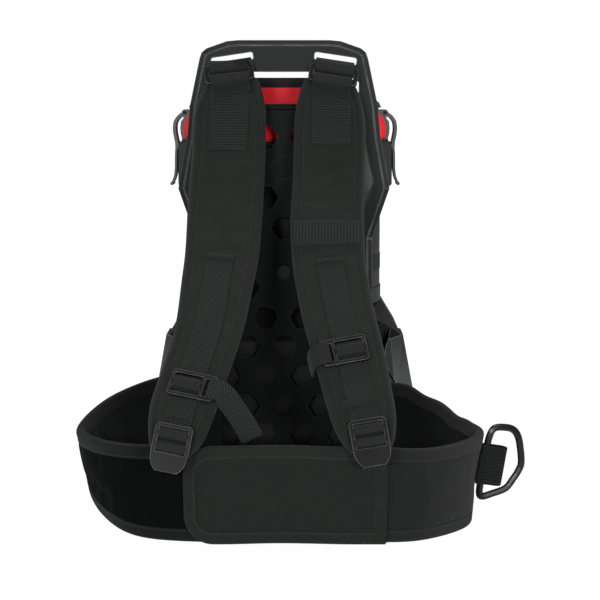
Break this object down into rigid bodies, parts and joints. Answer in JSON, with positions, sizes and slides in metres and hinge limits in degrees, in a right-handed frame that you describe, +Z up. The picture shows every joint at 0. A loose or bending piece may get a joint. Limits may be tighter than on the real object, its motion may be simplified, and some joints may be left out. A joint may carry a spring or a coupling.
{
  "type": "backpack leaf blower",
  "caption": "Backpack blower: canister with latched red lid on a flared base with battery, fan and swivel outlet, on a moulded harness frame with padded straps and hip belt.",
  "frame": {"origin": "on the floor under the axis of the canister, in the sole's underside", "axes": "+Z up along the canister's axis, -Y towards the wearer's back, +X to the right as seen from the wearer's side"},
  "size_m": [0.4257, 0.5774, 0.502],
  "materials": {
    "shell": "satin moulded",
    "gloss_cover": "polished",
    "red_shell": "glossy",
    "black_plastic": "matt moulded",
    "rubber": "matt",
    "frame_plastic": "satin moulded",
    "panel_plastic": "satin moulded",
    "steel": "plain",
    "motor_metal": "cast",
    "fan_plastic": "smooth",
    "filter_paper": "pleated sheet",
    "circuit": "plain",
    "pad_cloth": "knitted over foam",
    "belt_cloth": "woven",
    "loop_cloth": "brushed loop pile",
    "webbing": "ribbed webbing",
    "buckle_plastic": "smooth moulded"
  },
  "bodies": {
    "machine": {"base_sole": "rubber", "base_shell_back": "shell", "base_shell_front": "shell", "side_cover_left": "gloss_cover", "side_cover_right": "gloss_cover", "housing_screws": "steel", "vent_grilles": "black_plastic", "volute": "black_plastic", "volute_cover": "black_plastic", "motor_case": "motor_metal", "motor_bearings": "steel", "motor_mount": "black_plastic", "control_board": "circuit", "outlet_collar": "black_plastic", "battery_dock": "black_plastic", "cable_gland": "black_plastic", "canister": "shell", "canister_band": "rubber", "filter_core": "fan_plastic", "filter_pleats": "filter_paper", "filter_cap": "black_plastic", "back_frame": "frame_plastic", "hex_panel": "panel_plastic", "frame_saddle": "black_plastic", "frame_screws": "steel", "shoulder_pad_left": "pad_cloth", "shoulder_pad_right": "pad_cloth", "top_webbing_left": "webbing", "top_webbing_right": "webbing", "slide_buckles": "buckle_plastic", "strap_webbing_left": "webbing", "strap_webbing_right": "webbing", "ladder_locks": "buckle_plastic", "anchor_webbing": "webbing", "chest_buckles": "buckle_plastic", "chest_webbing": "webbing", "strap_keeper": "webbing", "lumbar_pad": "pad_cloth", "belt_wing_left": "loop_cloth", "belt_wing_right": "belt_cloth", "belt_flap": "belt_cloth", "ring_webbing": "webbing"},
    "fan": {"impeller": "fan_plastic", "motor_shaft": "steel"},
    "lid": {"lid_seal": "rubber", "lid_ring": "red_shell", "lid_dome": "black_plastic", "intake_grille": "black_plastic", "carry_handle": "red_shell", "handle_grip": "rubber", "latch_pins": "steel"},
    "latch_right": {"latch_right": "black_plastic"},
    "latch_left": {"latch_left": "black_plastic"},
    "battery": {"battery_pack": "black_plastic"},
    "button_right": {"battery_button_right": "red_shell"},
    "button_left": {"battery_button_left": "red_shell"},
    "switch": {"power_switch": "red_shell"},
    "elbow": {"outlet_elbow": "black_plastic"},
    "ring": {"tool_ring": "buckle_plastic"}
  },
  "joints": [
    {"name": "fan_spin", "type": "hinge", "parent": "machine", "child": "fan", "pos_m": [0, 0, 0.172], "axis": [0, 0, 1], "continuous": true},
    {"name": "lid_lift", "type": "slide", "parent": "machine", "child": "lid", "axis": [0, 0, 1], "range_m": [0, 0.06]},
    {"name": "latch_right_open", "type": "hinge", "parent": "lid", "child": "latch_right", "pos_m": [0.106, 0, 0.43], "axis": [0, -1, 0], "range_deg": [0, 80]},
    {"name": "latch_left_open", "type": "hinge", "parent": "lid", "child": "latch_left", "pos_m": [-0.106, 0, 0.43], "axis": [0, 1, 0], "range_deg": [0, 80]},
    {"name": "battery_slide", "type": "slide", "parent": "machine", "child": "battery", "axis": [0, 0, 1], "range_m": [0, 0.11]},
    {"name": "button_right_press", "type": "slide", "parent": "battery", "child": "button_right", "axis": [-1, 0, 0], "range_m": [0, 0.0025], "stiffness_N_per_m": 300, "springref_m": -0.002},
    {"name": "button_left_press", "type": "slide", "parent": "battery", "child": "button_left", "axis": [1, 0, 0], "range_m": [0, 0.0025], "stiffness_N_per_m": 300, "springref_m": -0.002},
    {"name": "switch_rock", "type": "hinge", "parent": "machine", "child": "switch", "pos_m": [0.04, 0.103, 0.176], "axis": [-1, 0, 0], "range_deg": [0, 12]},
    {"name": "elbow_swivel", "type": "hinge", "parent": "machine", "child": "elbow", "pos_m": [-0.055, 0.118, 0.187], "axis": [0, 1, 0], "range_deg": [-80, 80]},
    {"name": "ring_swing", "type": "hinge", "parent": "machine", "child": "ring", "pos_m": [0.19144, -0.23039, 0.09969], "axis": [0.1608, -0.0173, 0.9868], "range_deg": [-35, 35]}
  ]
}
